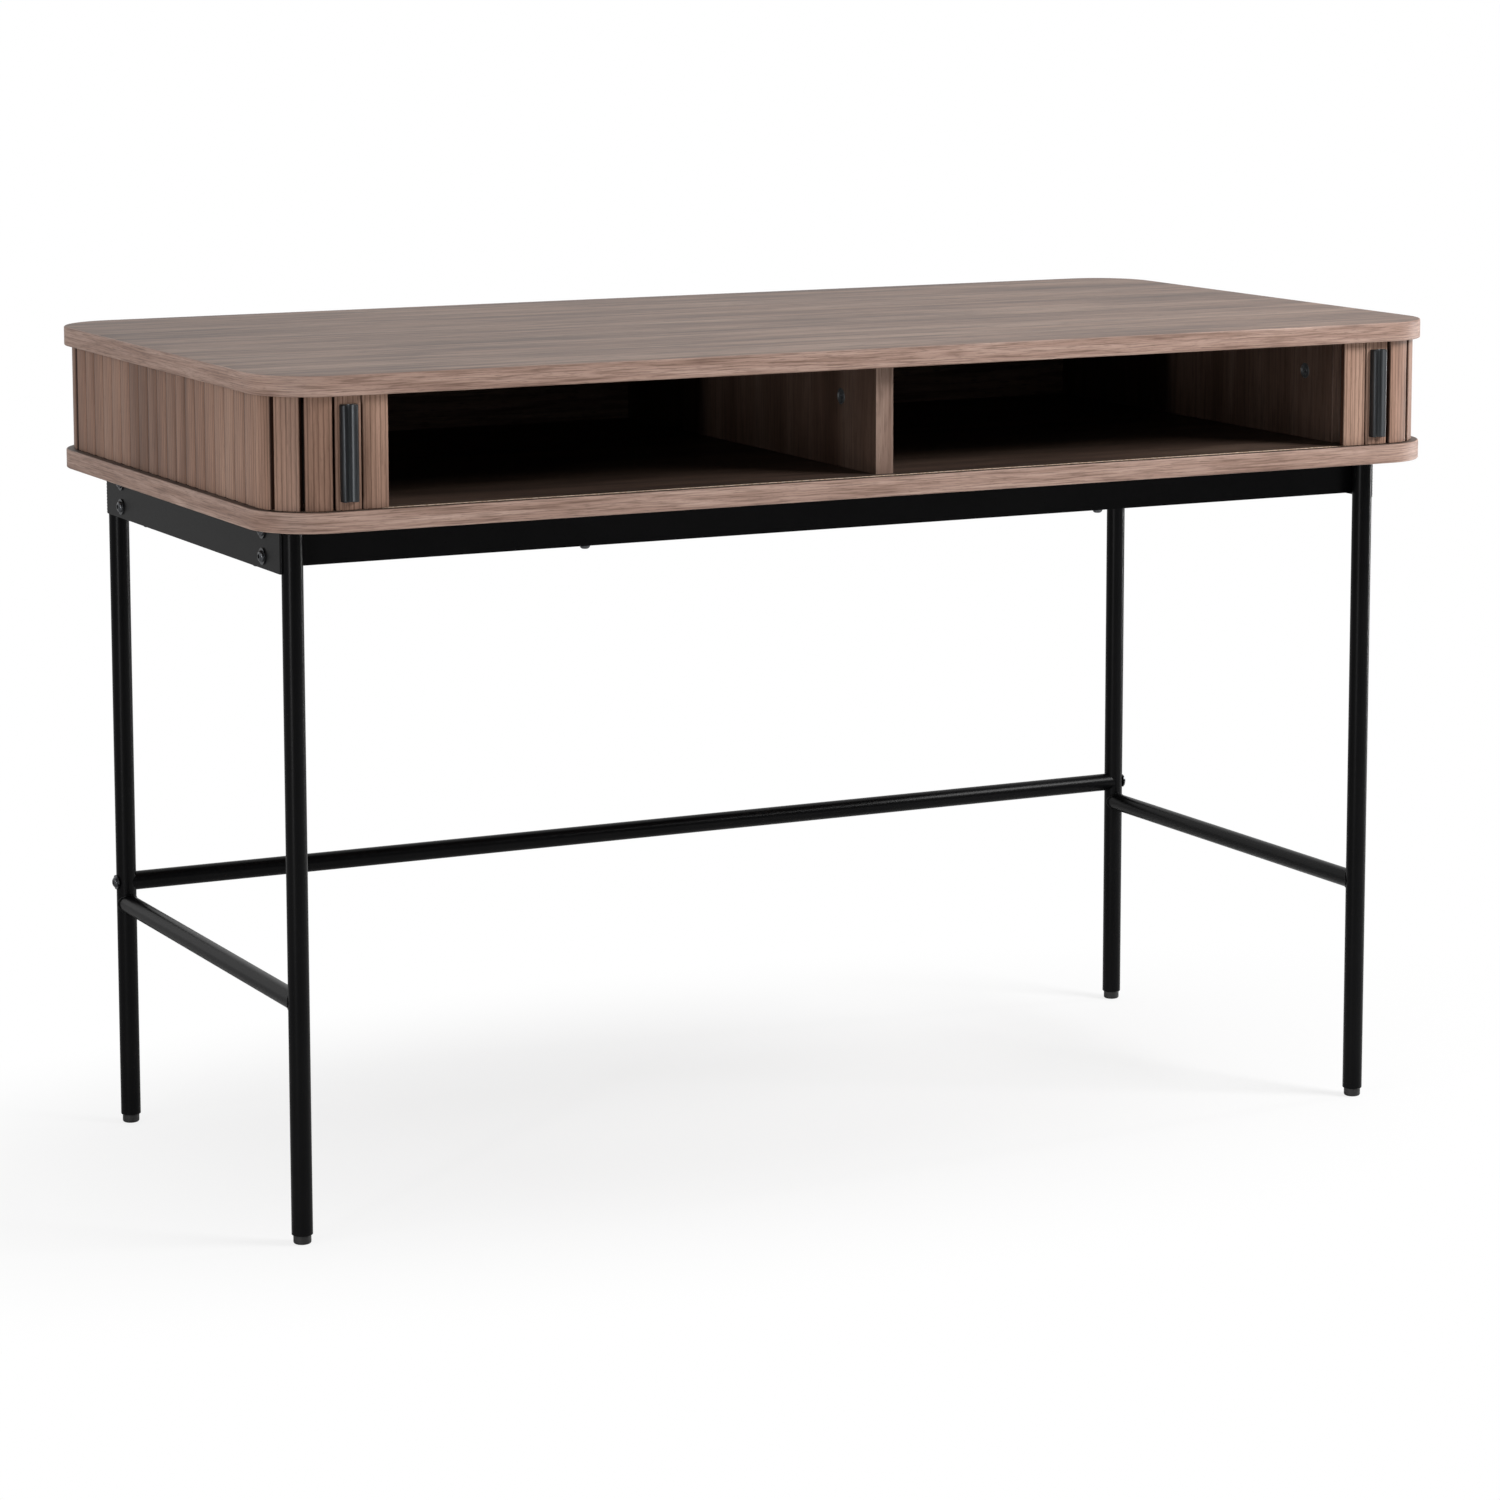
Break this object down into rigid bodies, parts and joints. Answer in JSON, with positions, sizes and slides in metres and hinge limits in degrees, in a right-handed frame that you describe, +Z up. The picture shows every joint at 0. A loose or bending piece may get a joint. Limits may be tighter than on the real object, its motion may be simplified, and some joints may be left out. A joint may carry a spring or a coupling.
{
  "type": "tambour desk",
  "caption": "Walnut-look writing desk: a low open case with rounded corners and sliding tambour doors, on a black tube frame with stretchers.",
  "frame": {"origin": "on the floor, under the middle of the desk top", "axes": "+X along the width to the right as seen from the front, -Y towards the front, +Z up"},
  "size_m": [1.2, 0.6, 0.775],
  "materials": {
    "walnut_board": "matt walnut foil with the grain along the length",
    "walnut_panel": "matt walnut foil",
    "walnut_slat": "matt walnut foil with upright grain",
    "canvas": "dark woven backing cloth",
    "black_steel": "fine matt black powder coat",
    "black_fixing": "black oxide steel",
    "black_aluminium": "satin black anodised",
    "black_plastic": "moulded black plastic",
    "zinc_fitting": "zinc plated"
  },
  "bodies": {
    "desk": {"top_board": "walnut_board", "bottom_board": "walnut_board", "left_inner_panel": "walnut_panel", "center_divider": "walnut_panel", "right_inner_panel": "walnut_panel", "back_panel": "walnut_panel", "rear_panel": "walnut_panel", "cam_locks": "zinc_fitting", "cam_bolts": "zinc_fitting", "panel_screws": "zinc_fitting", "back_panel_screws": "zinc_fitting", "stretcher_plugs": "zinc_fitting", "front_left_leg": "black_steel", "front_left_foot": "black_plastic", "rear_left_leg": "black_steel", "rear_left_foot": "black_plastic", "front_right_leg": "black_steel", "front_right_foot": "black_plastic", "rear_right_leg": "black_steel", "rear_right_foot": "black_plastic", "left_side_rail": "black_steel", "right_side_rail": "black_steel", "front_rail": "black_steel", "rear_rail": "black_steel", "left_side_stretcher": "black_steel", "right_side_stretcher": "black_steel", "back_stretcher": "black_steel", "rail_bolts": "black_fixing", "rail_nuts": "black_fixing", "board_screws": "black_fixing", "stretcher_bolts": "black_fixing", "left_corner_slats": "walnut_slat", "left_side_slats": "walnut_slat", "left_rear_corner_slats": "walnut_slat", "left_rear_slats": "walnut_slat", "left_canvas": "canvas", "right_corner_slats": "walnut_slat", "right_side_slats": "walnut_slat", "right_rear_corner_slats": "walnut_slat", "right_rear_slats": "walnut_slat", "right_canvas": "canvas"},
    "left_door": {"left_lead_slat": "walnut_slat", "left_pull_slat": "walnut_slat", "left_lead_canvas": "canvas", "left_pull": "black_aluminium", "left_pull_screws": "zinc_fitting"},
    "right_door": {"right_lead_slat": "walnut_slat", "right_pull_slat": "walnut_slat", "right_lead_canvas": "canvas", "right_pull": "black_aluminium", "right_pull_screws": "zinc_fitting"}
  },
  "joints": [
    {"name": "left_door_slide", "type": "slide", "parent": "desk", "child": "left_door", "axis": [1, 0, 0], "range_m": [0, 0.4895]},
    {"name": "right_door_slide", "type": "slide", "parent": "desk", "child": "right_door", "axis": [-1, 0, 0], "range_m": [0, 0.4895]}
  ]
}
